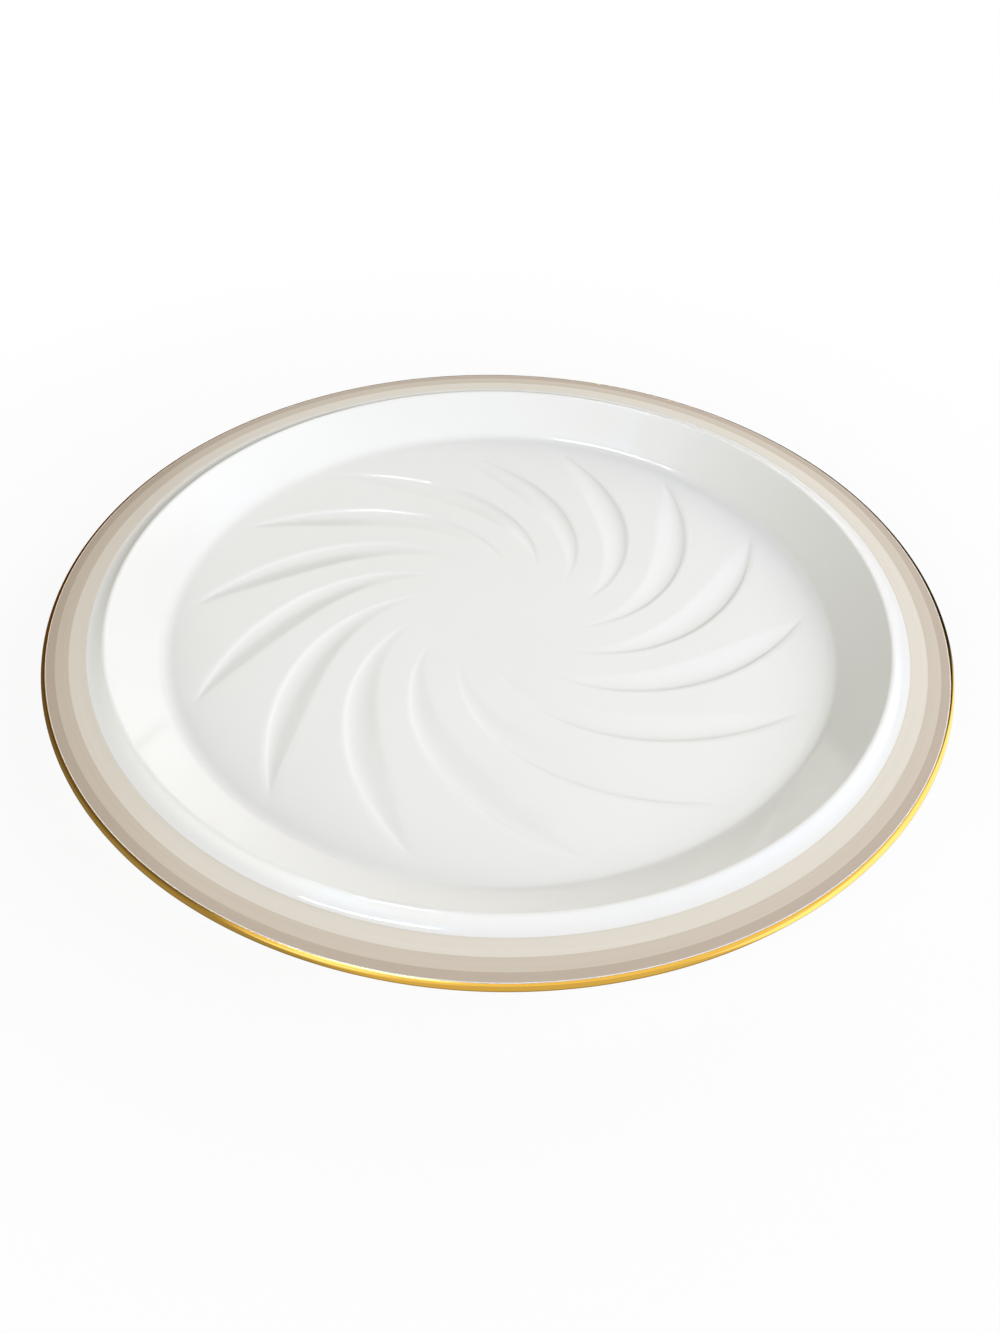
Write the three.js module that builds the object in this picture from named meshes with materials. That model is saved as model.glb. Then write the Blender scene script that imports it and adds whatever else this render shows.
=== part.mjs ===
// A round porcelain serving plate: a flat flange that steps up to a rounded crest, a shallow well and a foot
// ring. A rosette of curved flutes is pressed into the floor of the well. Fired onto the flange are three
// enamel bands, darkest outside, and a gilding that wraps the lip.
// Millimetres, +Z up, origin on the table at the centre of the foot ring.
import * as THREE from 'three';
import { toCreasedNormals } from 'three/addons/utils/BufferGeometryUtils.js';

// Heights, from the table up.
const FOOT_HEIGHT = 4.4;          // table to the underside of the floor
const FLOOR_THICKNESS = 4.6;
const WELL_DEPTH = 12.4;          // floor to the top of the flange

// The flange, from the lip inwards. The bands follow each other edge to edge.
const PLATE_RADIUS = 160;         // to the outside of the gilding
const LIP_THICKNESS = 2.4;
const GILDING_THICKNESS = 0.2;
const GILDING_FLAT = 0.2;         // how far the gilding runs in over the flange, past the round of the lip
const BARE_LINE = 0.3;            // plain flange between the gilding and the outermost band
const ENAMEL_THICKNESS = 0.15;
const ENAMEL_BANDS = [
  { name: 'enamel_taupe_band', width: 2.8, color: 0xc2b2a1 },
  { name: 'enamel_sand_band', width: 4.3, color: 0xd4c8ba },
  { name: 'enamel_cream_band', width: 5.7, color: 0xe6ded4 },
];
const BARE_MARGIN = 0.2;          // plain flange between the innermost band and the foot of the step

// The step and the wall of the well, measured between the corners that their fillets round off.
const STEP_RISE = 2.2;            // flange to crest
const STEP_RUN = 3.7;             // how far the step comes in on its way up
const STEP_FILLET = 7.5;
const CREST_FILLET = 1.5;
const WALL_RUN = 17.2;            // how far the wall comes in on its way down
const FLOOR_FILLET = 7.5;

// The underside.
const FLANGE_ROOT_THICKNESS = 3.6;
const WALL_THICKNESS = 4.2;
const UNDER_SHOULDER_FILLET = 9;
const FOOT_INSET = 15;            // from the corner of floor and wall in to the middle of the foot ring
const FOOT_FACE_WIDTH = 3.2;      // the ground face that the plate stands on
const FOOT_ROOT_WIDTH = 7;
const FOOT_EDGE_FILLET = 0.8;
const FOOT_ROOT_FILLET = 2.2;

// The rosette. Each flute is a curved leaf in plan, pointed at both ends, and hollow in section.
const FLUTE_COUNT = 14;
const PLAIN_CENTRE_RADIUS = 31;   // to the flutes' inner tips
const FLUTE_MARGIN = 6;           // from the flutes' outer tips to where the floor starts to rise
const FLUTE_WIDTH = 18;           // at the widest place
const FLUTE_TIP_WIDTH = 1.2;
const FLUTE_DEPTH = 1;
const FLUTE_SWEEP = 1.15;         // radians that a flute turns round the plate on its way out
const FLUTE_FULLEST = 0.6;        // where it is widest and deepest, as a share of its length
const FLUTE_DEEPEST = 0.36;       // where its hollow is deepest, as a share of its width

// How finely the round shapes are cut into facets.
const FACETS_ROUND = 112;         // wanted round the plate; each flute's pitch then takes a whole number
const LIP_STEPS = 4;
const STEP_FILLET_STEPS = 3;
const CREST_STEPS = 4;
const FLOOR_FILLET_STEPS = 3;
const UNDERSIDE_STEPS = 2;
const FLUTE_RINGS = 8;
const CREASE_ANGLE = 0.45;        // radians; facets that meet at less are shaded as one smooth surface

// What follows from the sizes above.
const FLOOR_TOP = FOOT_HEIGHT + FLOOR_THICKNESS;
const FLANGE_TOP = FLOOR_TOP + WELL_DEPTH;
const LIP_ROUND = LIP_THICKNESS / 2;
const LIP_CENTRE_RADIUS = PLATE_RADIUS - GILDING_THICKNESS - LIP_ROUND;
const GILDING_EDGE_RADIUS = LIP_CENTRE_RADIUS - GILDING_FLAT;
const ENAMEL_OUTER_RADIUS = GILDING_EDGE_RADIUS - BARE_LINE;
const ENAMEL_WIDTH = ENAMEL_BANDS.reduce((total, band) => total + band.width, 0);
const STEP_REACH = STEP_FILLET * Math.tan(Math.atan2(STEP_RISE, STEP_RUN) / 2);
const STEP_RADIUS = ENAMEL_OUTER_RADIUS - ENAMEL_WIDTH - BARE_MARGIN - STEP_REACH;
const CREST_RADIUS = STEP_RADIUS - STEP_RUN;
const CREST_TOP = FLANGE_TOP + STEP_RISE;
const FLOOR_RADIUS = CREST_RADIUS - WALL_RUN;
const WALL_SLOPE = Math.atan2(CREST_TOP - FLOOR_TOP, WALL_RUN);
const FLOOR_REACH = FLOOR_FILLET * Math.tan(WALL_SLOPE / 2);
const FLUTE_OUTER_RADIUS = FLOOR_RADIUS - FLOOR_REACH - FLUTE_MARGIN;
const FOOT_RADIUS = FLOOR_RADIUS - FOOT_INSET;
const STEPS_PER_FLUTE = Math.max(4, Math.round(FACETS_ROUND / FLUTE_COUNT));
const STEPS_ACROSS_FLUTE = Math.round(0.6 * STEPS_PER_FLUTE);   // the rest lie on the land beside it
const STEPS_ROUND = FLUTE_COUNT * STEPS_PER_FLUTE;

const point = (radius, height) => new THREE.Vector2(radius, height);

// The end of the lip as a half circle, from the underside round to the top.
function lipArc(radius) {
  const centre = point(LIP_CENTRE_RADIUS, FLANGE_TOP - LIP_ROUND);
  const arc = [];
  for (let i = 0; i <= LIP_STEPS; i++) {
    const angle = -Math.PI / 2 + (Math.PI * i) / LIP_STEPS;
    arc.push(point(radius * Math.cos(angle), radius * Math.sin(angle)).add(centre));
  }
  return arc;
}

// The corner between two straight stretches, rounded with an arc that is tangent to both. The arc takes up
// less than half of either stretch, so that two neighbouring arcs never meet.
function fillet(before, corner, after, radius, steps) {
  const back = before.clone().sub(corner);
  const on = after.clone().sub(corner);
  const half = Math.abs(back.angleTo(on)) / 2;
  const reach = Math.min(radius / Math.tan(half), 0.48 * back.length(), 0.48 * on.length());
  const start = corner.clone().addScaledVector(back.normalize(), reach);
  const end = corner.clone().addScaledVector(on.normalize(), reach);
  const centre = back.add(on).normalize().multiplyScalar(reach / Math.cos(half)).add(corner);
  const turn = Math.sign(start.clone().sub(centre).cross(end.clone().sub(centre))) * (Math.PI - 2 * half);
  const arc = [];
  for (let i = 0; i <= steps; i++) {
    arc.push(start.clone().rotateAround(centre, (turn * i) / steps));
  }
  return arc;
}

// Where the line through a and b crosses the line through c and d.
function crossing(a, b, c, d) {
  const ab = b.clone().sub(a);
  const cd = d.clone().sub(c);
  return a.clone().addScaledVector(ab, c.clone().sub(a).cross(cd) / ab.cross(cd));
}

// The rings of the floor that the flutes are pressed into, from the outer tips in to the inner ones.
function fluteRings() {
  const rings = [];
  for (let i = FLUTE_RINGS; i >= 0; i--) {
    const radius = THREE.MathUtils.lerp(PLAIN_CENTRE_RADIUS, FLUTE_OUTER_RADIUS, i / FLUTE_RINGS);
    rings.push(point(radius, FLOOR_TOP));
  }
  return rings;
}

// The outside of the body, from the axis under the floor, round the foot and the lip, to the floor's edge.
function bodySection() {
  const lip = lipArc(LIP_ROUND);
  const step = point(STEP_RADIUS, FLANGE_TOP);
  const crest = point(CREST_RADIUS, CREST_TOP);
  const floorCorner = point(FLOOR_RADIUS, FLOOR_TOP);

  // The underside of the wall runs parallel to its upper side, and the flange thins towards the lip.
  const through = point(Math.sin(WALL_SLOPE), -Math.cos(WALL_SLOPE)).multiplyScalar(WALL_THICKNESS);
  const wallFoot = floorCorner.clone().add(through);
  const wallHead = crest.clone().add(through);
  const underCentre = point(0, FOOT_HEIGHT);
  const underFloor = crossing(wallFoot, wallHead, underCentre, point(FLOOR_RADIUS, FOOT_HEIGHT));
  const flangeRoot = point(STEP_RADIUS, FLANGE_TOP - FLANGE_ROOT_THICKNESS);
  const underShoulder = crossing(wallFoot, wallHead, lip[0], flangeRoot);

  const footInnerRoot = point(FOOT_RADIUS - FOOT_ROOT_WIDTH / 2, FOOT_HEIGHT);
  const footInnerEdge = point(FOOT_RADIUS - FOOT_FACE_WIDTH / 2, 0);
  const footOuterEdge = point(FOOT_RADIUS + FOOT_FACE_WIDTH / 2, 0);
  const footOuterRoot = point(FOOT_RADIUS + FOOT_ROOT_WIDTH / 2, FOOT_HEIGHT);

  return [
    underCentre,
    ...fillet(underCentre, footInnerRoot, footInnerEdge, FOOT_ROOT_FILLET, UNDERSIDE_STEPS),
    ...fillet(footInnerRoot, footInnerEdge, footOuterEdge, FOOT_EDGE_FILLET, 1),
    ...fillet(footInnerEdge, footOuterEdge, footOuterRoot, FOOT_EDGE_FILLET, 1),
    ...fillet(footOuterEdge, footOuterRoot, underFloor, FOOT_ROOT_FILLET, UNDERSIDE_STEPS),
    ...fillet(footOuterRoot, underFloor, underShoulder, FLOOR_FILLET + WALL_THICKNESS, UNDERSIDE_STEPS),
    ...fillet(underFloor, underShoulder, lip[0], UNDER_SHOULDER_FILLET, UNDERSIDE_STEPS),
    ...lip,
    ...fillet(lip.at(-1), step, crest, STEP_FILLET, STEP_FILLET_STEPS),
    ...fillet(step, crest, floorCorner, CREST_FILLET, CREST_STEPS),
    ...fillet(crest, floorCorner, point(0, FLOOR_TOP), FLOOR_FILLET, FLOOR_FILLET_STEPS),
  ];
}

// A section turned once round the plate's axis.
function turned(section) {
  return new THREE.LatheGeometry(section, STEPS_ROUND).rotateX(Math.PI / 2);
}

// Swells from 0 at one end to 1 at the peak, and sinks back to 0 at the other end.
function swell(share, peak) {
  return Math.sin(Math.PI * share ** (Math.log(0.5) / Math.log(peak)));
}

// Presses the flutes into the turned body. The facet lines are moved round the floor until they follow both
// edges of every flute, so that the edges stay crisp from tip to tip.
function pressFlutes(geometry, section, firstRing) {
  const position = geometry.getAttribute('position');
  const pitch = (2 * Math.PI) / FLUTE_COUNT;
  const insideShare = STEPS_ACROSS_FLUTE / STEPS_PER_FLUTE;
  for (let i = 0; i < position.count; i++) {
    const ring = i % section.length;
    if (ring < firstRing) continue;
    const radius = section[ring].x;
    if (radius === 0) continue;
    const along = (radius - PLAIN_CENTRE_RADIUS) / (FLUTE_OUTER_RADIUS - PLAIN_CENTRE_RADIUS);
    const line = Math.floor(i / section.length);
    const flute = Math.floor(line / STEPS_PER_FLUTE);
    const share = (line % STEPS_PER_FLUTE) / STEPS_PER_FLUTE;

    // Across the flute this runs from 0 to 1, and on the land beside it it stays at 1.
    const across = Math.min(share / insideShare, 1);
    const fullness = swell(along, FLUTE_FULLEST);
    const width = THREE.MathUtils.lerp(FLUTE_TIP_WIDTH, FLUTE_WIDTH, fullness) / radius;
    const land = Math.max((share - insideShare) / (1 - insideShare), 0) * (pitch - width);
    const angle = flute * pitch + across * width + land + FLUTE_SWEEP * (along - 1);
    const dip = FLUTE_DEPTH * fullness * swell(across, FLUTE_DEEPEST);
    position.setXYZ(i, radius * Math.sin(angle), -radius * Math.cos(angle), FLOOR_TOP - dip);
  }
}

function porcelainBody() {
  const outside = bodySection();
  const section = [...outside, ...fluteRings(), point(0, FLOOR_TOP)];
  const geometry = turned(section);
  pressFlutes(geometry, section, outside.length);
  return geometry;
}

// A thin skin round the lip, with a narrow flat edge on the flange.
function gildedLip() {
  const outside = [
    ...lipArc(LIP_ROUND + GILDING_THICKNESS),
    point(GILDING_EDGE_RADIUS, FLANGE_TOP + GILDING_THICKNESS),
  ];
  const inside = [...lipArc(LIP_ROUND), point(GILDING_EDGE_RADIUS, FLANGE_TOP)];
  return turned([...outside, ...inside.reverse(), outside[0]]);
}

// A thin flat ring that lies on the flange.
function enamelBand(outerRadius, width) {
  const top = FLANGE_TOP + ENAMEL_THICKNESS;
  const innerRadius = outerRadius - width;
  return turned([
    point(innerRadius, FLANGE_TOP),
    point(outerRadius, FLANGE_TOP),
    point(outerRadius, top),
    point(innerRadius, top),
    point(innerRadius, FLANGE_TOP),
  ]);
}

function piece(name, geometry, look) {
  const mesh = new THREE.Mesh(toCreasedNormals(geometry, CREASE_ANGLE), new THREE.MeshStandardMaterial(look));
  mesh.name = name;
  return mesh;
}

const plate = new THREE.Group();
plate.add(piece('porcelain_body', porcelainBody(), { color: 0xf4f3f0, roughness: 0.12, metalness: 0 }));
plate.add(piece('gilded_lip', gildedLip(), { color: 0xd9aa45, roughness: 0.22, metalness: 1 }));

let outerRadius = ENAMEL_OUTER_RADIUS;
for (const { name, width, color } of ENAMEL_BANDS) {
  plate.add(piece(name, enamelBand(outerRadius, width), { color, roughness: 0.18, metalness: 0 }));
  outerRadius -= width;
}

export default plate;
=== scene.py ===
import math

import bpy
from mathutils import Matrix, Vector


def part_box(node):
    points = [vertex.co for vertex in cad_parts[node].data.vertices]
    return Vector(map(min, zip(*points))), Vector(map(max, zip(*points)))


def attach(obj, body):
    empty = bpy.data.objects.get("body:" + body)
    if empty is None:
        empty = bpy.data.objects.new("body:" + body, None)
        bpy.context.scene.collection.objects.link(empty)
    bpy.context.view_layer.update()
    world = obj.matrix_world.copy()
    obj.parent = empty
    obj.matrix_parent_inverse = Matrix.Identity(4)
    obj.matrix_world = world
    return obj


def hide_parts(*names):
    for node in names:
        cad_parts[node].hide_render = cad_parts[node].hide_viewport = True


# A white porcelain serving plate with a gilded lip and three enamel bands, on a white table.
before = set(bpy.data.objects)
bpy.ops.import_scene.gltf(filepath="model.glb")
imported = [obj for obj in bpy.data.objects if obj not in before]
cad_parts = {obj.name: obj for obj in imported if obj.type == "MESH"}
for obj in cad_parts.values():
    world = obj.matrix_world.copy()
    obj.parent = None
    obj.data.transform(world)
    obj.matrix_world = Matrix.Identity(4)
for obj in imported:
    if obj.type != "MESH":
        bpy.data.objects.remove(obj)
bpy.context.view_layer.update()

cameraView = {
    "lens": 27.0,                # on a 36 mm sensor
    "aim": (0.0006, -0.0415),    # the point looked at, level with the lip
    "distance": 0.3386,
    "elevation": 44.14,          # degrees above the table
    "roll": 1.51,
}


def placeCamera(lipHeight):
    view = cameraView
    tilt = math.radians(view["elevation"])
    back = Vector((0, -math.cos(tilt), math.sin(tilt))) * view["distance"]
    camera = bpy.data.objects.new("camera", bpy.data.cameras.new("camera"))
    camera.data.lens = view["lens"]
    camera.matrix_world = (
        Matrix.Translation(Vector((*view["aim"], lipHeight)) + back)
        @ Matrix.Rotation(math.pi / 2 - tilt, 4, "X")
        @ Matrix.Rotation(math.radians(view["roll"]), 4, "Z")
    )
    bpy.context.scene.collection.objects.link(camera)
    bpy.context.scene.camera = camera


# Where the frame has the lip, the flange and the bands.
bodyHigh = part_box("porcelain_body")[1]
goldLow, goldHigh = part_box("gilded_lip")
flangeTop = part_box("enamel_taupe_band")[0].z
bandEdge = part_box("enamel_taupe_band")[1].x
lipMiddle = (goldLow.z + goldHigh.z) / 2
placeCamera(lipMiddle)
print("camera placed")


# Node helpers, for shader and geometry trees alike.
def feed(tree, socket, value):
    if isinstance(value, bpy.types.NodeSocket):
        tree.links.new(value, socket)
    else:
        socket.default_value = value


def addNode(tree, kind, inputs=None, **settings):
    node = tree.nodes.new(kind)
    for name, value in settings.items():
        setattr(node, name, value)
    for name, value in (inputs or {}).items():
        feed(tree, node.inputs[name], value)
    return node


def sums(tree, operation, *values):
    node = addNode(tree, "ShaderNodeMath", operation=operation)
    for socket, value in zip(node.inputs, values):
        feed(tree, socket, value)
    return node.outputs[0]


def newTree(name, kind, inputs, outputs):
    tree = bpy.data.node_groups.new(name, kind)
    for label, socketKind in inputs.items():
        tree.interface.new_socket(name=label, in_out="INPUT", socket_type="NodeSocket" + socketKind)
    for label, socketKind in outputs.items():
        tree.interface.new_socket(name=label, in_out="OUTPUT", socket_type="NodeSocket" + socketKind)
    return tree, tree.nodes.new("NodeGroupInput").outputs, tree.nodes.new("NodeGroupOutput").inputs


mergeDistance = 1e-6


# A section line, turned round the plate's axis. A line that starts and ends on the axis, or closes on
# itself, gives a closed surface.
def turnedSectionGroup():
    tree, given, made = newTree(
        "turnedSection", "GeometryNodeTree",
        {"Section": "Geometry", "Columns": "Int"}, {"Surface": "Geometry"})
    domain = addNode(tree, "GeometryNodeAttributeDomainSize", {"Geometry": given["Section"]})
    rows = domain.outputs["Point Count"]
    grid = addNode(tree, "GeometryNodeMeshGrid", {
        "Vertices X": sums(tree, "ADD", given["Columns"], 1), "Vertices Y": rows})
    index = addNode(tree, "GeometryNodeInputIndex").outputs[0]
    halfway = sums(tree, "ADD", index, 0.5)    # between two points, so that no rounding moves the column
    column = sums(tree, "FLOOR", sums(tree, "DIVIDE", halfway, rows))
    row = sums(tree, "SUBTRACT", index, sums(tree, "MULTIPLY", column, rows))
    sample = addNode(tree, "GeometryNodeSampleIndex", data_type="FLOAT_VECTOR", domain="POINT")
    feed(tree, sample.inputs["Geometry"], given["Section"])
    feed(tree, sample.inputs["Value"], addNode(tree, "GeometryNodeInputPosition").outputs[0])
    feed(tree, sample.inputs["Index"], row)
    at = addNode(tree, "ShaderNodeSeparateXYZ", {"Vector": sample.outputs[0]}).outputs
    angle = sums(tree, "MULTIPLY", sums(tree, "DIVIDE", column, given["Columns"]), math.tau)
    place = addNode(tree, "ShaderNodeCombineXYZ", {
        "X": sums(tree, "MULTIPLY", at["X"], sums(tree, "COSINE", angle)),
        "Y": sums(tree, "MULTIPLY", at["X"], sums(tree, "SINE", angle)),
        "Z": at["Z"]})
    moved = addNode(tree, "GeometryNodeSetPosition", {
        "Geometry": grid.outputs["Mesh"], "Position": place.outputs[0]})
    merged = addNode(tree, "GeometryNodeMergeByDistance", {
        "Geometry": moved.outputs[0], "Distance": mergeDistance})
    feed(tree, made["Surface"], merged.outputs[0])
    return tree


# Swells from 0 at one end to 1 at the peak, and sinks back to 0 at the other end. It is half a sine wave,
# led through a power that puts its middle at the peak.
def swell(tree, share, peak):
    power = sums(tree, "DIVIDE", math.log(0.5), sums(tree, "LOGARITHM", peak, math.e))
    return sums(tree, "SINE", sums(tree, "MULTIPLY", sums(tree, "POWER", share, power), math.pi))


# Curved flutes pressed into the floor. The columns of the mesh are led along both edges of every flute.
def pressedFlutesGroup():
    sizes = ("Floor Height", "Inner Tips", "Outer Tips", "Flutes", "Hollow Share", "Width", "Tip Width",
             "Depth", "Sweep", "Fullest", "Deepest", "Softness")
    tree, given, made = newTree(
        "pressedFlutes", "GeometryNodeTree",
        {"Surface": "Geometry", **{name: "Float" for name in sizes}}, {"Surface": "Geometry"})
    at = addNode(tree, "ShaderNodeSeparateXYZ", {
        "Vector": addNode(tree, "GeometryNodeInputPosition").outputs[0]}).outputs
    radius = sums(tree, "SQRT", sums(tree, "ADD", sums(tree, "MULTIPLY", at["X"], at["X"]),
                                     sums(tree, "MULTIPLY", at["Y"], at["Y"])))
    turn = sums(tree, "MULTIPLY", sums(tree, "ARCTAN2", at["Y"], at["X"]),
                sums(tree, "DIVIDE", given["Flutes"], math.tau))
    flute = sums(tree, "FLOOR", turn)
    share = sums(tree, "FRACT", turn)
    pitch = sums(tree, "DIVIDE", math.tau, given["Flutes"])

    length = sums(tree, "SUBTRACT", given["Outer Tips"], given["Inner Tips"])
    along = sums(tree, "DIVIDE", sums(tree, "SUBTRACT", radius, given["Inner Tips"]), length)
    along = sums(tree, "MINIMUM", sums(tree, "MAXIMUM", along, 0), 1)
    fullness = swell(tree, along, given["Fullest"])
    across = sums(tree, "MINIMUM", sums(tree, "DIVIDE", share, given["Hollow Share"]), 1)
    width = sums(tree, "MULTIPLY_ADD", sums(tree, "SUBTRACT", given["Width"], given["Tip Width"]),
                 fullness, given["Tip Width"])
    width = sums(tree, "DIVIDE", width, radius)
    beside = sums(tree, "DIVIDE", sums(tree, "SUBTRACT", share, given["Hollow Share"]),
                  sums(tree, "SUBTRACT", 1, given["Hollow Share"]))
    land = sums(tree, "MULTIPLY", sums(tree, "MAXIMUM", beside, 0), sums(tree, "SUBTRACT", pitch, width))
    angle = sums(tree, "MULTIPLY_ADD", flute, pitch, sums(tree, "MULTIPLY_ADD", across, width, land))
    angle = sums(tree, "MULTIPLY_ADD", given["Sweep"], sums(tree, "SUBTRACT", along, 1), angle)
    hollow = sums(tree, "POWER", sums(tree, "MAXIMUM", swell(tree, across, given["Deepest"]), 0),
                  given["Softness"])
    dip = sums(tree, "MULTIPLY", given["Depth"], sums(tree, "MULTIPLY", fullness, hollow))
    place = addNode(tree, "ShaderNodeCombineXYZ", {
        "X": sums(tree, "MULTIPLY", radius, sums(tree, "COSINE", angle)),
        "Y": sums(tree, "MULTIPLY", radius, sums(tree, "SINE", angle)),
        "Z": sums(tree, "SUBTRACT", at["Z"], dip)})
    nearly = 1e-5
    onFloor = sums(tree, "GREATER_THAN", at["Z"], sums(tree, "SUBTRACT", given["Floor Height"], nearly))
    inside = sums(tree, "LESS_THAN", radius, sums(tree, "ADD", given["Outer Tips"], nearly))
    moved = addNode(tree, "GeometryNodeSetPosition", {
        "Geometry": given["Surface"], "Selection": sums(tree, "MULTIPLY", onFloor, inside),
        "Position": place.outputs[0]})
    feed(tree, made["Surface"], moved.outputs[0])
    return tree, sizes


# A modifier tree that turns a section, presses the flutes if it has any, and gives the piece its finish.
def pieceTree(name, turned, pressed=None, sizes=()):
    tree, given, made = newTree(
        name, "GeometryNodeTree",
        {"Section": "Geometry", "Columns": "Int", **{size: "Float" for size in sizes}, "Finish": "Material"},
        {"Piece": "Geometry"})
    surface = addNode(tree, "GeometryNodeGroup", node_tree=turned)
    for label in ("Section", "Columns"):
        feed(tree, surface.inputs[label], given[label])
    surface = surface.outputs[0]
    if pressed:
        press = addNode(tree, "GeometryNodeGroup", node_tree=pressed)
        feed(tree, press.inputs["Surface"], surface)
        for label in sizes:
            feed(tree, press.inputs[label], given[label])
        surface = press.outputs[0]
    smooth = addNode(tree, "GeometryNodeSetShadeSmooth", {"Geometry": surface, "Shade Smooth": True})
    real = addNode(tree, "GeometryNodeRealizeInstances", {"Geometry": smooth.outputs[0]})
    finish = addNode(tree, "GeometryNodeSetMaterial", {
        "Geometry": real.outputs[0], "Material": given["Finish"]})
    feed(tree, made["Piece"], finish.outputs[0])
    return tree


# A section as a line of points, radius along X and height along Z.
def sectionObject(name, points):
    line = bpy.data.meshes.new(name)
    line.from_pydata([(x, 0, z) for x, z in points], [(i, i + 1) for i in range(len(points) - 1)], [])
    made = bpy.data.objects.new(name, line)
    bpy.context.scene.collection.objects.link(made)
    return made


# Runs the tree on the section and keeps its result as a plain mesh.
def turnedPiece(name, points, tree, values, material):
    made = sectionObject(name, points)
    modifier = made.modifiers.new("turned", "NODES")
    modifier.node_group = tree
    values = {**values, "Finish": material}
    for item in tree.interface.items_tree:
        if item.in_out == "INPUT" and item.name in values:
            modifier[item.identifier] = values[item.name]
    bpy.context.view_layer.update()
    shaped = made.evaluated_get(bpy.context.evaluated_depsgraph_get())
    mesh = bpy.data.meshes.new_from_object(shaped)
    made.modifiers.remove(modifier)
    line, made.data = made.data, mesh
    bpy.data.meshes.remove(line)
    mesh.name = name
    print(name, len(mesh.polygons), "faces")
    return made


# Where the line through a and b crosses the line through c and d.
def crossing(a, b, c, d):
    ab = b - a
    cd = d - c
    return a + ab * ((c - a).cross(cd) / ab.cross(cd))


filletShare = 0.48               # of a straight stretch, the most that the fillet at one end takes
holdShare = 0.02                 # of a straight stretch, the most between an arc and the ring beside it


# A line through corners of (point, fillet), with arcs in the corners. A sharp corner has fillet 0. A ring
# close to either end of an arc keeps the shading of the straight stretches flat.
def filletedLine(corners, stepAngle, hold):
    points = []
    for i, (corner, fillet) in enumerate(corners):
        if not fillet:
            points.append(corner)
            continue
        back = corners[i - 1][0] - corner
        onward = corners[i + 1][0] - corner
        half = back.angle(onward) / 2
        reach = min(fillet / math.tan(half), filletShare * back.length, filletShare * onward.length)
        middle = (back.normalized() + onward.normalized()).normalized()
        centre = corner + middle * (reach / math.cos(half))
        start = corner + back.normalized() * reach
        turn = (start - centre).angle_signed(corner + onward.normalized() * reach - centre)
        steps = max(2, math.ceil(abs(turn) / stepAngle))
        points.append(start + back.normalized() * min(hold, holdShare * back.length))
        for step in range(steps + 1):
            points.append(centre + Matrix.Rotation(-turn * step / steps, 2) @ (start - centre))
        points.append(points[-1] + onward.normalized() * min(hold, holdShare * onward.length))
    return points


porcelainBody = {
    "columnsPerFlute": 28,
    "arcStep": math.radians(6),
    "holdRing": 0.0003,          # from an arc to the ring beside it
    "lipSteps": 28,
    "lipThickness": 0.0024,
    "creamWidth": 0.0057,        # the innermost band
    "bareMargin": 0.0002,        # from that band to where the step starts to rise
    "stepRise": 0.0022,          # flange to crest
    "stepRun": 0.0037,
    "stepFillet": 0.0075,
    "crestFillet": 0.00155,
    "wallRun": 0.0172,           # crest to floor, seen from above
    "wellDepth": 0.0124,         # floor to flange
    "floorFillet": 0.0075,
    "floorThickness": 0.0046,
    "wallThickness": 0.0042,
    "flangeRootThickness": 0.0036,   # under the foot of the step
    "underShoulderFillet": 0.009,
    "footInset": 0.015,          # floor's corner to the middle of the foot ring
    "footFaceWidth": 0.0032,     # between its corners, before they are rounded
    "footRootWidth": 0.007,
    "footEdgeFillet": 0.0008,
    "footRootFillet": 0.0022,
}

rosette = {
    "Flutes": 14,
    "Inner Tips": 0.031,
    "Hollow Share": 18 / 28,     # of a flute's columns, the rest lie on the land beside it
    "Width": 0.018,
    "Tip Width": 0.0012,
    "Depth": 0.001,
    "Sweep": 1.15,               # radians round the plate
    "Fullest": 0.6,
    "Deepest": 0.36,
    "Softness": 1.15,            # above 1 rounds the edges of the hollows
    "margin": 0.006,             # outer tips to where the floor starts to rise
    "rings": 64,
}


# Where the flange rounds off into the lip, from underneath to the top. It starts and ends a margin outside
# the bands' edge, and stands off the porcelain by the coat's thickness at the side and on top.
def lipLine(steps, margin=0, side=0, top=0):
    middle = flangeTop - porcelainBody["lipThickness"] / 2
    run = bodyHigh.x - bandEdge + side
    high = porcelainBody["lipThickness"] / 2 + top
    reach = math.acos(margin / run)
    angles = [reach * (2 * step / steps - 1) for step in range(steps + 1)]
    return [Vector((bandEdge + run * math.cos(angle), middle + high * math.sin(angle))) for angle in angles]


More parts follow.
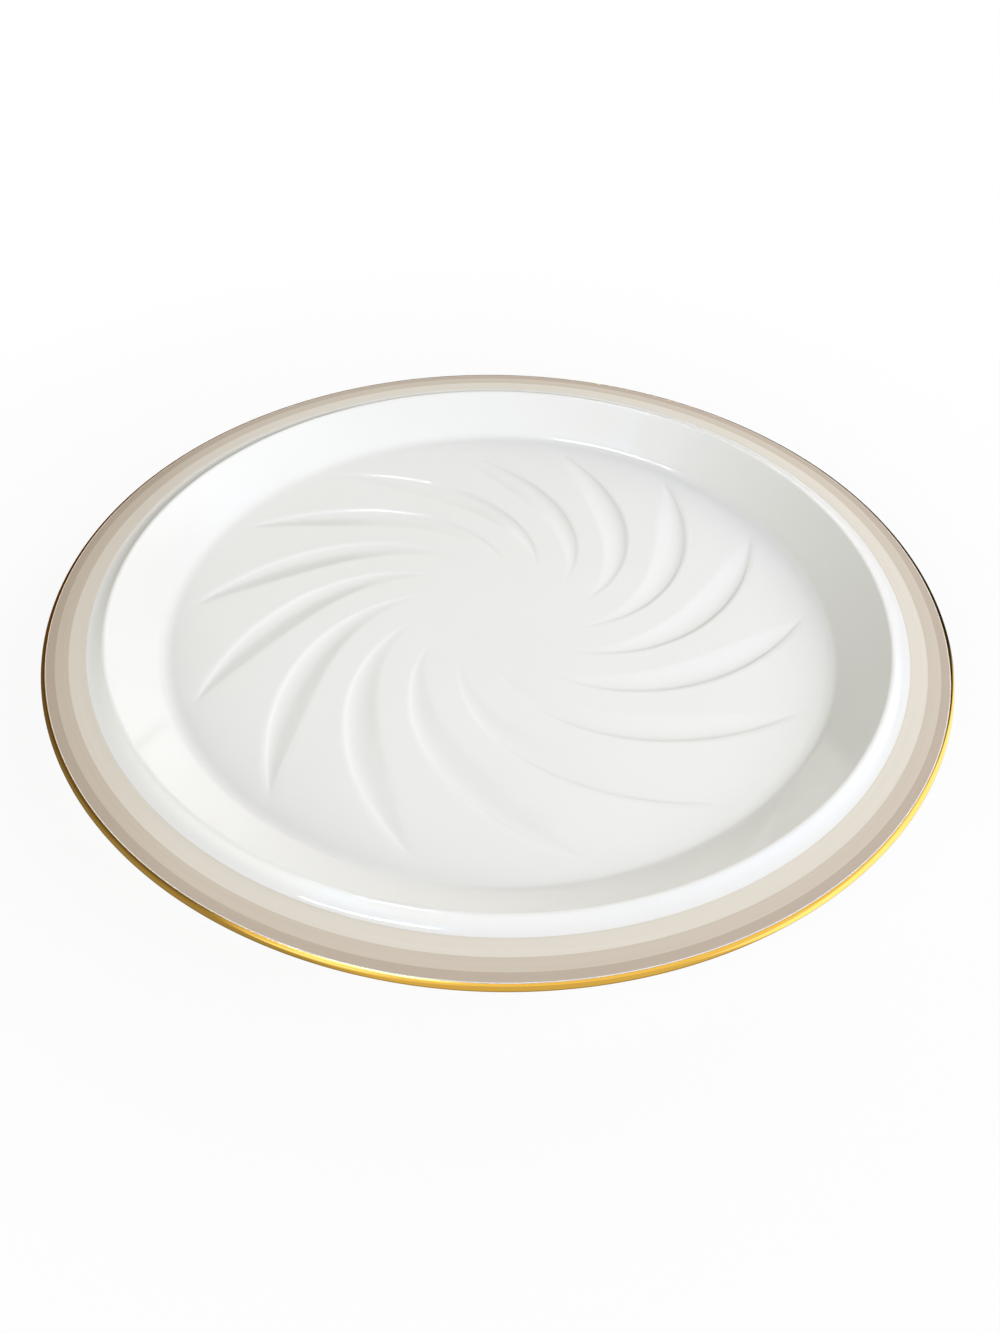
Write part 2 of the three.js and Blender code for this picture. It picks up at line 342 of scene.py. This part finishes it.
# The body's section, from the axis under the floor, round the foot and the lip, to the middle of the well.
def bodySection():
    size = porcelainBody
    floorTop = flangeTop - size["wellDepth"]
    underFloorHeight = floorTop - size["floorThickness"]
    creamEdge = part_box("enamel_cream_band")[1].x - size["creamWidth"]
    stepSlope = math.atan2(size["stepRise"], size["stepRun"])
    stepRadius = creamEdge - size["bareMargin"] - size["stepFillet"] * math.tan(stepSlope / 2)
    crest = Vector((stepRadius - size["stepRun"], flangeTop + size["stepRise"]))
    floorCorner = Vector((crest.x - size["wallRun"], floorTop))
    slope = math.atan2(crest.y - floorTop, size["wallRun"])
    through = Vector((math.sin(slope), -math.cos(slope))) * size["wallThickness"]
    lipUnder = Vector((bandEdge - size["holdRing"], flangeTop - size["lipThickness"]))
    flangeRoot = Vector((stepRadius, flangeTop - size["flangeRootThickness"]))
    underCentre = Vector((0, underFloorHeight))
    underFloor = crossing(floorCorner + through, crest + through, underCentre, underCentre + Vector((1, 0)))
    underShoulder = crossing(floorCorner + through, crest + through, lipUnder, flangeRoot)
    foot = floorCorner.x - size["footInset"]
    root = size["footRootWidth"] / 2
    face = size["footFaceWidth"] / 2
    corners = [
        (underCentre, 0),
        (Vector((foot - root, underFloorHeight)), size["footRootFillet"]),
        (Vector((foot - face, 0)), size["footEdgeFillet"]),
        (Vector((foot + face, 0)), size["footEdgeFillet"]),
        (Vector((foot + root, underFloorHeight)), size["footRootFillet"]),
        (underFloor, size["floorFillet"] + size["wallThickness"]),
        (underShoulder, size["underShoulderFillet"]),
        (lipUnder, 0),
        *[(point, 0) for point in lipLine(size["lipSteps"])],
        (Vector((bandEdge - size["holdRing"], flangeTop)), 0),
        (Vector((stepRadius, flangeTop)), size["stepFillet"]),
        (crest, size["crestFillet"]),
        (floorCorner, size["floorFillet"]),
        (Vector((0, floorTop)), 0),
    ]
    points = filletedLine(corners, size["arcStep"], size["holdRing"])
    middle = points.pop()
    floorReach = size["floorFillet"] * math.tan(slope / 2)
    innerTips, outerTips = rosette["Inner Tips"], floorCorner.x - floorReach - rosette["margin"]
    for ring in range(rosette["rings"], -1, -1):
        share = ring / rosette["rings"]
        points.append(Vector((innerTips + (outerTips - innerTips) * share, floorTop)))
    points.append(middle)
    return points, floorTop, outerTips


goldEdge = {
    "columns": 392,
    "steps": 60,
    "margin": 0.0003,            # bare line between the bands and the gilding
    "sideThickness": 0.0002,
    "topThickness": 0.00003,
}


# The gilding, from under the lip round to its edge on the flange.
def goldSection():
    size = goldEdge
    inside = lipLine(size["steps"], size["margin"])
    outside = lipLine(size["steps"], size["margin"], size["sideThickness"], size["topThickness"])
    return outside + inside[::-1] + outside[:1]


bands = {
    "columns": 392,
    "steps": 24,
    "hold": 0.002,               # share of the width that keeps the shading flat up to the edges
    "thickness": 0.00006,
    "softness": 0.0006,          # over which the innermost band thins out
    "thinnest": 0.02,            # keeps that soft edge from closing to nothing
}


# A band, from its outer to its inner edge and back along the flange.
def bandSection(outer, inner, softEnd):
    top, bottom = [], []
    shares = [step / bands["steps"] for step in range(bands["steps"] + 1)]
    for share in [0, bands["hold"], *shares[1:-1], 1 - bands["hold"], 1]:
        radius = outer + (inner - outer) * share
        full = min(1, (radius - inner) / bands["softness"]) if softEnd else 1
        rise = bands["thickness"] * math.sqrt(max(bands["thinnest"], full * (2 - full)))
        top.append(Vector((radius, flangeTop + rise)))
        bottom.append(Vector((radius, flangeTop)))
    return top + bottom[::-1] + top[:1]


# Shader groups that several finishes share, and the finishes.

# Long shallow waves and a fine orange peel, as a glaze that ran and set.
def glazeRippleGroup():
    tree, given, made = newTree(
        "glazeRipple", "ShaderNodeTree",
        {"Vector": "Vector", "Wave Size": "Float", "Peel Size": "Float", "Peel Share": "Float"},
        {"Height": "Float"})
    wave = addNode(tree, "ShaderNodeTexNoise", {
        "Vector": given["Vector"], "Scale": sums(tree, "DIVIDE", 1, given["Wave Size"]), "Detail": 1})
    peel = addNode(tree, "ShaderNodeTexNoise", {
        "Vector": given["Vector"], "Scale": sums(tree, "DIVIDE", 1, given["Peel Size"]), "Detail": 0})
    height = sums(tree, "MULTIPLY_ADD", peel.outputs["Fac"], given["Peel Share"], wave.outputs["Fac"])
    feed(tree, made["Height"], height)
    return tree


# Streaks that run round the plate, as a brush held against the turning wheel leaves them.
def wheelStreaksGroup():
    tree, given, made = newTree(
        "wheelStreaks", "ShaderNodeTree",
        {"Vector": "Vector", "Streak Width": "Float", "Turns": "Float"}, {"Streak": "Float"})
    at = addNode(tree, "ShaderNodeSeparateXYZ", {"Vector": given["Vector"]}).outputs
    flat = addNode(tree, "ShaderNodeCombineXYZ", {"X": at["X"], "Y": at["Y"]})
    length = addNode(tree, "ShaderNodeVectorMath", {0: flat.outputs[0]}, operation="LENGTH")
    radius = length.outputs["Value"]
    outward = addNode(tree, "ShaderNodeVectorMath", {0: flat.outputs[0]}, operation="NORMALIZE")
    spread = addNode(tree, "ShaderNodeVectorMath", {0: outward.outputs[0]}, operation="SCALE")
    feed(tree, spread.inputs["Scale"], given["Turns"])
    slow = addNode(tree, "ShaderNodeSeparateXYZ", {"Vector": spread.outputs[0]}).outputs
    reach = sums(tree, "DIVIDE", sums(tree, "ADD", radius, at["Z"]), given["Streak Width"])
    place = addNode(tree, "ShaderNodeCombineXYZ", {"X": slow["X"], "Y": slow["Y"], "Z": reach})
    noise = addNode(tree, "ShaderNodeTexNoise", {"Vector": place.outputs[0], "Scale": 1, "Detail": 2})
    feed(tree, made["Streak"], noise.outputs["Fac"])
    return tree


glazeRipple = glazeRippleGroup()
wheelStreaks = wheelStreaksGroup()


def newMaterial(name):
    material = bpy.data.materials.new(name)
    material.use_nodes = True
    tree = material.node_tree
    where = addNode(tree, "ShaderNodeTexCoord").outputs["Object"]
    return material, tree, tree.nodes["Principled BSDF"], where


# A value between low and high, picked by a factor that mostly stays within middle -+ spread.
def spanned(tree, factor, low, high, middle=0.5, spread=0.25):
    node = addNode(tree, "ShaderNodeMapRange", {
        "Value": factor, "From Min": middle - spread, "From Max": middle + spread,
        "To Min": low, "To Max": high})
    return node.outputs[0]


def mixedColor(tree, factor, first, second):
    node = addNode(tree, "ShaderNodeMix", data_type="RGBA")
    feed(tree, node.inputs["Factor"], factor)
    feed(tree, node.inputs[6], first)
    feed(tree, node.inputs[7], second)
    return node.outputs[2]


def rippleBump(tree, where, shader, values):
    ripple = addNode(tree, "ShaderNodeGroup", {"Vector": where}, node_tree=glazeRipple)
    for label in ("Wave Size", "Peel Size", "Peel Share"):
        feed(tree, ripple.inputs[label], values[label])
    bump = addNode(tree, "ShaderNodeBump", {
        "Height": ripple.outputs["Height"], "Distance": values["depth"], "Strength": 1})
    feed(tree, shader.inputs["Normal"], bump.outputs[0])


glaze = {
    "white": (0.900, 0.896, 0.874, 1),
    "warmWhite": (0.885, 0.878, 0.852, 1),     # where the glaze lies thicker
    "speck": (0.50, 0.43, 0.34, 1),
    "cloudSize": 0.05,
    "speckSpacing": 0.03,
    "speckRadius": 0.0002,
    "speckTone": 0.5,                          # how much of the speck's colour comes through
    "clay": (0.80, 0.77, 0.71, 1),             # the ground face of the foot
    "clayHeight": 0.00035,
    "clayEdge": 0.2,                           # share of that height over which the glaze starts
    "clayRoughness": 0.62,
    "roughness": (0.05, 0.09),
    "depth": 0.00006,
    "Wave Size": 0.03,
    "Peel Size": 0.0016,
    "Peel Share": 0.02,
}


def porcelainGlaze():
    material, tree, shader, where = newMaterial("porcelainGlaze")
    cloud = addNode(tree, "ShaderNodeTexNoise", {
        "Vector": where, "Scale": 1 / glaze["cloudSize"], "Detail": 2}).outputs["Fac"]
    color = mixedColor(tree, spanned(tree, cloud, 0, 1), glaze["white"], glaze["warmWhite"])
    cells = addNode(tree, "ShaderNodeTexVoronoi", {
        "Vector": where, "Scale": 1 / glaze["speckSpacing"], "Randomness": 1})
    speckEdge = glaze["speckRadius"] / glaze["speckSpacing"]
    speck = spanned(tree, cells.outputs["Distance"], glaze["speckTone"], 0, speckEdge, speckEdge / 2)
    color = mixedColor(tree, speck, color, glaze["speck"])
    height = addNode(tree, "ShaderNodeSeparateXYZ", {"Vector": where}).outputs["Z"]
    bare = spanned(tree, height, 1, 0, glaze["clayHeight"], glaze["clayEdge"] * glaze["clayHeight"])
    color = mixedColor(tree, bare, color, glaze["clay"])
    feed(tree, shader.inputs["Base Color"], color)
    glossy = spanned(tree, cloud, *glaze["roughness"])
    rough = addNode(tree, "ShaderNodeMix", data_type="FLOAT")
    feed(tree, rough.inputs["Factor"], bare)
    feed(tree, rough.inputs["A"], glossy)
    feed(tree, rough.inputs["B"], glaze["clayRoughness"])
    feed(tree, shader.inputs["Roughness"], rough.outputs[0])
    rippleBump(tree, where, shader, glaze)
    return material


enamel = {
    "streakWidth": 0.0011,
    "turns": 1.4,
    "streakTone": 0.955,                       # how much darker the heavier streaks are
    "roughness": (0.09, 0.16),
    "depth": 0.00005,
    "Wave Size": 0.025,
    "Peel Size": 0.0012,
    "Peel Share": 0.03,
}


def bandEnamel(name, color):
    material, tree, shader, where = newMaterial(name)
    streaks = addNode(tree, "ShaderNodeGroup", {"Vector": where}, node_tree=wheelStreaks)
    feed(tree, streaks.inputs["Streak Width"], enamel["streakWidth"])
    feed(tree, streaks.inputs["Turns"], enamel["turns"])
    heavy = spanned(tree, streaks.outputs[0], 0, 1)
    dark = tuple(channel * enamel["streakTone"] for channel in color)
    feed(tree, shader.inputs["Base Color"], mixedColor(tree, heavy, (*color, 1), (*dark, 1)))
    feed(tree, shader.inputs["Roughness"], spanned(tree, streaks.outputs[0], *enamel["roughness"]))
    rippleBump(tree, where, shader, enamel)
    return material


gilding = {
    "gold": (0.93, 0.56, 0.10, 1),
    "worn": (0.83, 0.47, 0.075, 1),
    "streakWidth": 0.00035,
    "turns": 3.0,
    "roughness": (0.08, 0.15),
    "depth": 0.00001,
    "bump": 0.5,
}


def burnishedGold():
    material, tree, shader, where = newMaterial("burnishedGold")
    streaks = addNode(tree, "ShaderNodeGroup", {"Vector": where}, node_tree=wheelStreaks)
    feed(tree, streaks.inputs["Streak Width"], gilding["streakWidth"])
    feed(tree, streaks.inputs["Turns"], gilding["turns"])
    worn = spanned(tree, streaks.outputs[0], 0, 1)
    feed(tree, shader.inputs["Base Color"], mixedColor(tree, worn, gilding["gold"], gilding["worn"]))
    feed(tree, shader.inputs["Roughness"], spanned(tree, streaks.outputs[0], *gilding["roughness"]))
    shader.inputs["Metallic"].default_value = 1
    bump = addNode(tree, "ShaderNodeBump", {
        "Height": streaks.outputs[0], "Distance": gilding["depth"], "Strength": gilding["bump"]})
    feed(tree, shader.inputs["Normal"], bump.outputs[0])
    return material


def settle(piece, node):
    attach(piece, "root")
    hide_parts(node)


# The pieces.
turned = turnedSectionGroup()
pressed, rosetteSizes = pressedFlutesGroup()
plateTree = pieceTree("pressedPlate", turned, pressed, rosetteSizes)
ringTree = pieceTree("turnedRing", turned)

points, floorTop, outerTips = bodySection()
plateValues = {
    **rosette,
    "Flutes": float(rosette["Flutes"]),
    "Floor Height": floorTop,
    "Outer Tips": outerTips,
    "Columns": rosette["Flutes"] * porcelainBody["columnsPerFlute"],
}
plate = turnedPiece("glazedPlate", points, plateTree, plateValues, porcelainGlaze())
settle(plate, "porcelain_body")

gold = turnedPiece("goldEdge", goldSection(), ringTree, {"Columns": goldEdge["columns"]}, burnishedGold())
settle(gold, "gilded_lip")

bandLooks = {
    "taupe": (0.539, 0.445, 0.356),
    "sand": (0.658, 0.574, 0.470),
    "cream": (0.791, 0.728, 0.634),
}
edges = [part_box(f"enamel_{tone}_band")[1].x for tone in bandLooks]
edges.append(edges[-1] - porcelainBody["creamWidth"])
for i, (tone, color) in enumerate(bandLooks.items()):
    section = bandSection(edges[i], edges[i + 1], tone == "cream")
    band = turnedPiece(f"{tone}Band", section, ringTree, {"Columns": bands["columns"]},
                       bandEnamel(f"{tone}Enamel", color))
    settle(band, f"enamel_{tone}_band")


# The studio: a floor, a plain world and three soft windows. Only reflections show what stands round the
# plate: a dark room, patches of bright sky and a white sheet.
studio = {
    "ambient": 0.12,
    "ambientColor": (1.0, 0.88, 0.70, 1),
    "floorSize": 8.0,
    "floorColor": (0.80, 0.80, 0.79, 1),
    "floorRoughness": 0.9,
    "floorShadow": 0.10,         # share of the shaded floor that the camera sees beside the plate
    # Where the floor's look changes, from the plate's axis.
    "insideFoot": (0.098, 0.102),    # further in, it glows up at the base
    "glow": 0.6,
    "underPlate": (0.128, 0.147),    # further in, the shaded floor shows in full
    "besidePlate": (0.16, 0.36),     # further out, it is plain white
}

# To the right, at the front left and low on the far side, as azimuth and elevation in degrees.
windows = {
    "rightWindow": {"azimuth": -15, "elevation": 35, "distance": 1.2, "size": 0.8, "power": 11.0,
                    "color": (0.81, 0.845, 1.0)},
    "frontWindow": {"azimuth": 230, "elevation": 25, "distance": 1.2, "size": 0.8, "power": 11.5,
                    "color": (0.97, 1.0, 0.96)},
    "farWindow": {"azimuth": 50, "elevation": 15, "distance": 1.2, "size": 0.8, "power": 13.2,
                  "color": (1.0, 0.99, 0.87)},
}

# The dark room: azimuth, how high its wall stands in degrees, and how bright it is, where the white outside
# is 1. It reaches in over the table, which is dimmer close to the plate, as a painted shadow of the plate.
daylight = (1.4, 1.65, 2.3)
darkWall = (0.02, 0.02, 0.02)
paleWall = (0.74, 0.74, 0.74)
room = {
    "round": [
        (-34, 50, daylight), (20, 50, daylight), (31, 45, daylight),
        (35, 43, darkWall), (60, 33, darkWall), (70, 28.5, darkWall), (80, 26, darkWall), (102, 26, darkWall),
        (110, 34, (0.03, 0.02, 0.02)), (117, 46, (0.06, 0.03, 0.02)), (125, 60, (0.07, 0.03, 0.02)),
        (138, 67, (0.09, 0.05, 0.04)), (161, 67, (0.17, 0.16, 0.18)), (184, 63, (0.32, 0.32, 0.36)),
        (207, 53, (0.41, 0.42, 0.46)), (236, 36, (0.42, 0.45, 0.48)),
        (250, 45, paleWall), (262, 74, paleWall), (300, 74, paleWall), (316, 60, paleWall),
        (325, 50, daylight),
    ],
    "rim": 0.1612,               # from the plate's axis to where it starts
    "wall": 2.85,                # from there to the wall
    "lift": 0.0005,              # off the table
    # The table part of the room fades up from the rim, as a painted shadow of the plate seen only in
    # reflections.
    "paintedShadowReach": 0.07,           # from the rim to where the table has its full brightness
    "paintedShadowShare": 0.4,            # of that brightness, at the rim
    "turn": 43,                  # degrees between a place at the side of the rim and what it mirrors
    "fade": 5,                   # degrees over which the top of the wall fades out
    "columns": 120,
}

# Patches of bright sky: azimuth, half width, lowest and highest, in degrees, and brightness.
sunlit = (32.0, 32.0, 32.0)
blueSky = (1.3, 1.7, 2.6)
skylight = {
    "patches": [
        (142, 2.2, 68, 69.5, sunlit), (142, 2.2, 71.5, 81.5, sunlit),
        (172, 12.0, 67, 80, blueSky), (221, 8.0, 49, 66, blueSky),
    ],
    "distance": 1.5,
    "setBack": 0.12,             # from each patch to the next
}

# A white sheet that stands just beyond the far rim, for the left of the well's wall to mirror. It is solid
# low in the middle, and fades out upwards and to both sides.
whiteSheet = {
    "middle": (-0.045, 0.165),
    "halfWidth": 0.045,
    "low": 0.029,
    "high": 0.115,
    "shine": (1.0, 1.0, 1.0),
    "steps": 8,
}


def mixedShaders(tree, factor, first, second):
    return addNode(tree, "ShaderNodeMixShader", {0: factor, 1: first, 2: second}).outputs[0]


# 1 for the rays that see the studio white, the camera's and those of reflections, and 0 for the rest.
def seenDirectly(tree):
    path = addNode(tree, "ShaderNodeLightPath").outputs
    seen = sums(tree, "MAXIMUM", path["Is Camera Ray"], path["Is Glossy Ray"])
    return sums(tree, "MAXIMUM", seen, path["Is Transmission Ray"])


def makeFloor():
    half = studio["floorSize"] / 2
    corners = [(-half, -half, 0), (half, -half, 0), (half, half, 0), (-half, half, 0)]
    mesh = bpy.data.meshes.new("tableTop")
    mesh.from_pydata(corners, [], [(0, 1, 2, 3)])
    floor = bpy.data.objects.new("tableTop", mesh)
    bpy.context.scene.collection.objects.link(floor)
    material, tree, shader, where = newMaterial("tableTop")
    shader.inputs["Base Color"].default_value = studio["floorColor"]
    shader.inputs["Roughness"].default_value = studio["floorRoughness"]
    shader.inputs["Specular IOR Level"].default_value = 0
    fromAxis = addNode(tree, "ShaderNodeVectorMath", {0: where}, operation="LENGTH").outputs["Value"]

    def changing(ring, inside, outside):
        low, high = studio[ring]
        return spanned(tree, fromAxis, inside, outside, (low + high) / 2, (high - low) / 2)

    glow = changing("insideFoot", studio["glow"], 0)
    nearWhite = changing("underPlate", 0, 1 - studio["floorShadow"])
    farWhite = changing("besidePlate", 0, studio["floorShadow"])
    shown = sums(tree, "MULTIPLY", seenDirectly(tree), sums(tree, "ADD", nearWhite, farWhite))
    plainWhite = addNode(tree, "ShaderNodeEmission", {"Strength": 1})
    topSide = mixedShaders(tree, sums(tree, "MAXIMUM", shown, glow), shader.outputs[0], plainWhite.outputs[0])
    # A camera underneath looks through it, at the base.
    below = sums(tree, "MULTIPLY", addNode(tree, "ShaderNodeNewGeometry").outputs["Backfacing"],
                 addNode(tree, "ShaderNodeLightPath").outputs["Is Camera Ray"])
    clear = addNode(tree, "ShaderNodeBsdfTransparent").outputs[0]
    feed(tree, tree.nodes["Material Output"].inputs["Surface"], mixedShaders(tree, below, topSide, clear))
    mesh.materials.append(material)


def makeWorld():
    world = bpy.data.worlds.new("studioWhite")
    world.use_nodes = True
    tree = world.node_tree
    background = tree.nodes["Background"]
    seen = seenDirectly(tree)
    feed(tree, background.inputs["Color"], mixedColor(tree, seen, studio["ambientColor"], (1, 1, 1, 1)))
    ambient = studio["ambient"]
    feed(tree, background.inputs["Strength"], sums(tree, "MULTIPLY_ADD", seen, 1 - ambient, ambient))
    bpy.context.scene.world = world


def towards(azimuth, elevation):
    turn, lift = math.radians(azimuth), math.radians(elevation)
    return Vector((math.cos(turn) * math.cos(lift), math.sin(turn) * math.cos(lift), math.sin(lift)))


def makeWindow(name, window):
    light = bpy.data.lights.new(name, "AREA")
    light.shape = "SQUARE"
    light.size = window["size"]
    light.energy = window["power"]
    light.color = window["color"]
    lamp = bpy.data.objects.new(name, light)
    direction = towards(window["azimuth"], window["elevation"])
    lamp.location = direction * window["distance"]
    lamp.rotation_euler = direction.to_track_quat("Z", "Y").to_euler()
    lamp.visible_glossy = False  # reflections show the room instead
    bpy.context.scene.collection.objects.link(lamp)


# Something that only reflections show. Every point has its brightness, and the share of what lies behind
# it that shows through.
def makeCard(name, points, faces, shines, fades):
    mesh = bpy.data.meshes.new(name)
    mesh.from_pydata(points, [], faces)
    card = bpy.data.objects.new(name, mesh)
    bpy.context.scene.collection.objects.link(card)
    card.visible_camera = False
    card.visible_diffuse = False
    card.visible_transmission = False
    card.visible_volume_scatter = False
    card.visible_shadow = False
    shine = mesh.attributes.new("shine", "FLOAT_COLOR", "POINT")
    shine.data.foreach_set("color", [channel for color in shines for channel in (*color, 1)])
    mesh.attributes.new("fade", "FLOAT", "POINT").data.foreach_set("value", fades)
    material = bpy.data.materials.new(name)
    material.use_nodes = True
    tree = material.node_tree
    color = addNode(tree, "ShaderNodeAttribute", attribute_name="shine").outputs["Color"]
    fade = addNode(tree, "ShaderNodeAttribute", attribute_name="fade").outputs["Fac"]
    glow = addNode(tree, "ShaderNodeEmission", {"Color": color, "Strength": 1}).outputs[0]
    clear = addNode(tree, "ShaderNodeBsdfTransparent").outputs[0]
    feed(tree, tree.nodes["Material Output"].inputs["Surface"], mixedShaders(tree, fade, glow, clear))
    mesh.materials.append(material)


# The room at an azimuth, between the two nearest places on the round.
def roomAt(azimuth):
    places = room["round"] + [(room["round"][0][0] + 360, *room["round"][0][1:])]
    azimuth = (azimuth - places[0][0]) % 360 + places[0][0]
    for (start, low, first), (end, high, second) in zip(places, places[1:]):
        if azimuth <= end:
            break
    share = (azimuth - start) / (end - start)
    return low + (high - low) * share, Vector(first).lerp(Vector(second), share)


# Columns of points that start at the rim and run out the way the rim mirrors, over the table and up.
def makeRoom():
    points, shines, fades, faces = [], [], [], []
    for column in range(room["columns"]):
        place = math.tau * column / room["columns"]
        turn = place + math.radians(room["turn"]) * math.cos(place)
        top, shine = roomAt(math.degrees(turn))
        solid = room["wall"] * math.tan(math.radians(top - room["fade"]))
        high = room["wall"] * math.tan(math.radians(top))
        # The first row, at the rim, is dimmed as a painted shadow of the plate on the table.
        for reach, height, share, fade in (
                (0, 0, room["paintedShadowShare"], 0),
                (room["paintedShadowReach"], 0, 1, 0),
                (room["wall"], 0, 1, 0),
                (room["wall"], solid, 1, 0),
                (room["wall"], high, 1, 1)):
            points.append((room["rim"] * math.cos(place) + reach * math.cos(turn),
                           room["rim"] * math.sin(place) + reach * math.sin(turn), room["lift"] + height))
            shines.append(shine * share)
            fades.append(fade)
    rows = len(points) // room["columns"]
    for column in range(room["columns"]):
        here, beyond = column * rows, (column + 1) % room["columns"] * rows
        for row in range(rows - 1):
            faces.append((here + row, beyond + row, beyond + row + 1, here + row + 1))
    makeCard("room", points, faces, shines, fades)


def makeSkylight():
    points, faces, shines = [], [], []
    for i, (azimuth, halfWidth, low, high, shine) in enumerate(skylight["patches"]):
        distance = skylight["distance"] + i * skylight["setBack"]
        firstCorner = len(points)
        for lift, side in ((low, -1), (low, 1), (high, 1), (high, -1)):
            spread = halfWidth / math.cos(math.radians(lift))
            points.append(towards(azimuth + side * spread, lift) * distance)
            shines.append(shine)
        faces.append(tuple(range(firstCorner, len(points))))
    makeCard("skylight", points, faces, shines, [0] * len(points))


def makeWhiteSheet():
    sheet, steps = whiteSheet, whiteSheet["steps"]
    x, y = sheet["middle"]
    points, faces, fades = [], [], []
    for row in range(steps + 1):
        height = sheet["low"] + (sheet["high"] - sheet["low"]) * row / steps
        for column in range(steps + 1):
            side = 2 * column / steps - 1
            points.append((x + sheet["halfWidth"] * side, y, height))
            fades.append(1 - min(1, 2 - 2 * abs(side)) * (1 - row / steps))
            if row < steps and column < steps:
                here = row * (steps + 1) + column
                faces.append((here, here + 1, here + steps + 2, here + steps + 1))
    makeCard("whiteSheet", points, faces, [sheet["shine"]] * len(points), fades)


makeFloor()
makeWorld()
for name, window in windows.items():
    makeWindow(name, window)
makeRoom()
makeSkylight()
makeWhiteSheet()
bpy.context.scene.view_settings.view_transform = "Standard"
print("studio lit")
